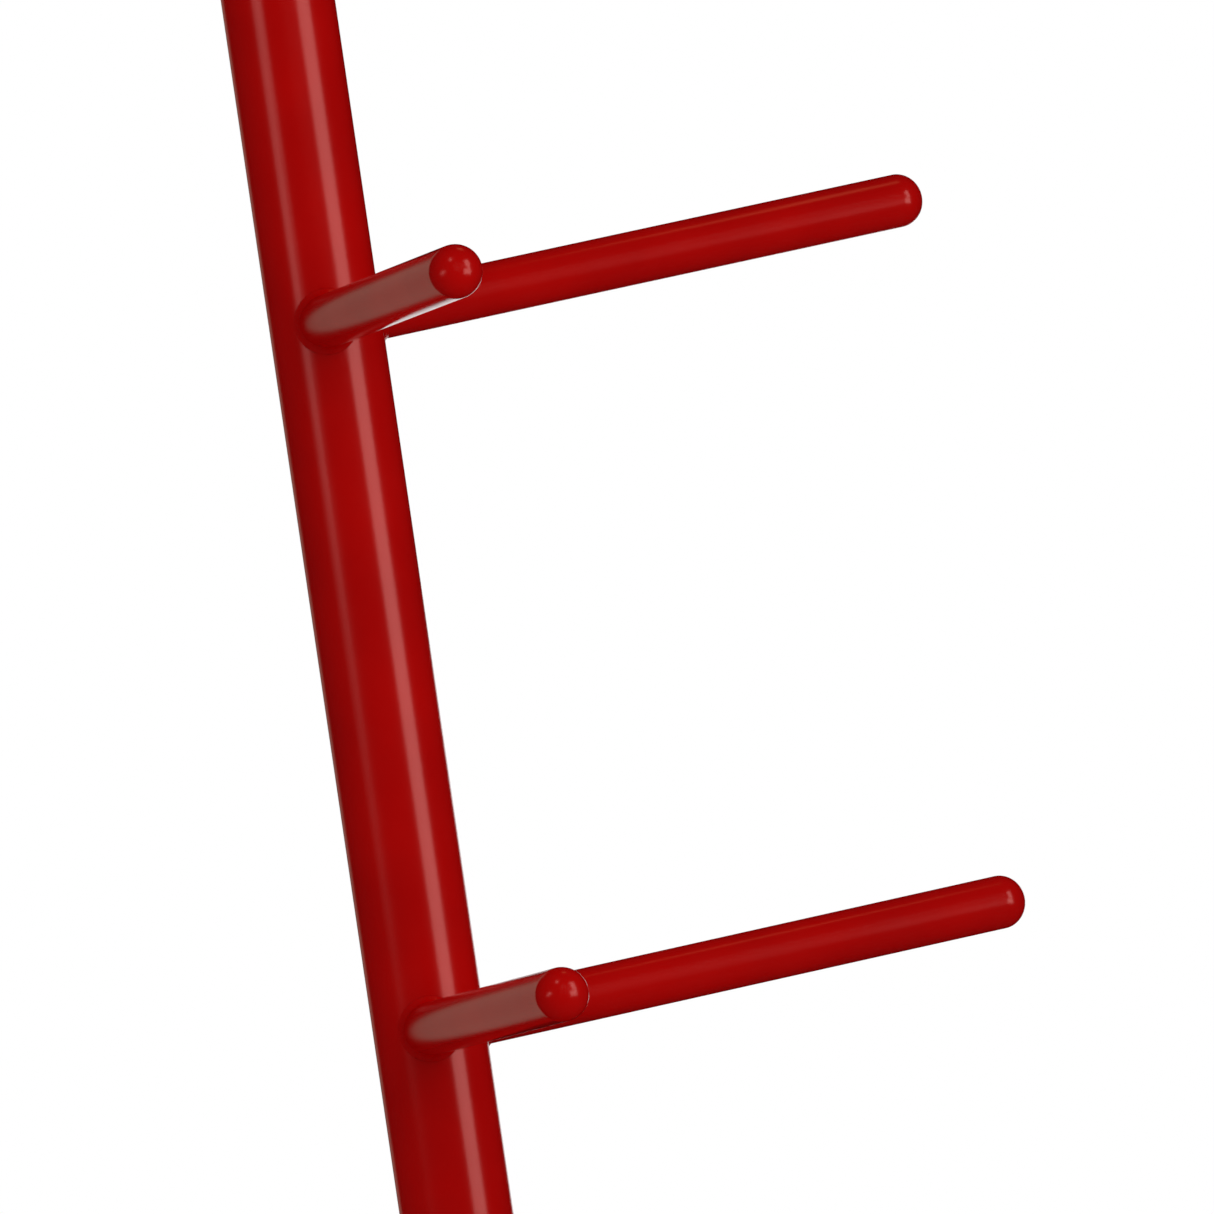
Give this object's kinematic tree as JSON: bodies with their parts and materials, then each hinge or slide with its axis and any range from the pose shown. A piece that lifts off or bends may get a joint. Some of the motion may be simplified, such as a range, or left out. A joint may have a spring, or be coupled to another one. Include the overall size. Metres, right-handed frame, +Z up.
{
  "type": "tyre storage rack",
  "caption": "Free-standing wheel and tyre rack: a leaning round post on a cross-shaped base, with pairs of dome-ended round arms one above another.",
  "frame": {"origin": "on the floor under the middle of the cross base", "axes": "+Z up, along the height; the arms point to the front, -Y, and the post leans back towards +Y; +X is to the right of someone who faces +Y"},
  "size_m": [0.9254, 0.9254, 2.0165],
  "materials": {
    "red_enamel": "glossy baked red enamel over welded mild steel",
    "zinc_plate": "bright zinc plate",
    "foot_rubber": "moulded black rubber, matt",
    "plug_plastic": "moulded black plastic, fine texture"
  },
  "bodies": {
    "root": {"post_tube": "red_enamel", "post_cap": "red_enamel", "post_weld": "red_enamel", "arm_tube_lower_left": "red_enamel", "arm_cap_lower_left": "red_enamel", "arm_weld_lower_left": "red_enamel", "arm_tube_lower_right": "red_enamel", "arm_cap_lower_right": "red_enamel", "arm_weld_lower_right": "red_enamel", "arm_tube_middle_left": "red_enamel", "arm_cap_middle_left": "red_enamel", "arm_weld_middle_left": "red_enamel", "arm_tube_middle_right": "red_enamel", "arm_cap_middle_right": "red_enamel", "arm_weld_middle_right": "red_enamel", "arm_tube_upper_left": "red_enamel", "arm_cap_upper_left": "red_enamel", "arm_weld_upper_left": "red_enamel", "arm_tube_upper_right": "red_enamel", "arm_cap_upper_right": "red_enamel", "arm_weld_upper_right": "red_enamel", "post_flange": "red_enamel", "hub_plate": "red_enamel", "gusset_front_left": "red_enamel", "gusset_front_right": "red_enamel", "gusset_back_right": "red_enamel", "gusset_back_left": "red_enamel", "flange_bolt_front": "zinc_plate", "flange_washer_front": "zinc_plate", "flange_nut_front": "zinc_plate", "flange_bolt_right": "zinc_plate", "flange_washer_right": "zinc_plate", "flange_nut_right": "zinc_plate", "flange_bolt_back": "zinc_plate", "flange_washer_back": "zinc_plate", "flange_nut_back": "zinc_plate", "flange_bolt_left": "zinc_plate", "flange_washer_left": "zinc_plate", "flange_nut_left": "zinc_plate", "base_beam_long": "red_enamel", "base_beam_front_right": "red_enamel", "base_beam_back_left": "red_enamel", "beam_plug_front_left": "plug_plastic", "foot_front_left": "foot_rubber", "foot_screw_front_left": "zinc_plate", "foot_nut_front_left": "zinc_plate", "beam_plug_front_right": "plug_plastic", "foot_front_right": "foot_rubber", "foot_screw_front_right": "zinc_plate", "foot_nut_front_right": "zinc_plate", "beam_plug_back_right": "plug_plastic", "foot_back_right": "foot_rubber", "foot_screw_back_right": "zinc_plate", "foot_nut_back_right": "zinc_plate", "beam_plug_back_left": "plug_plastic", "foot_back_left": "foot_rubber", "foot_screw_back_left": "zinc_plate", "foot_nut_back_left": "zinc_plate"}
  },
  "joints": []
}
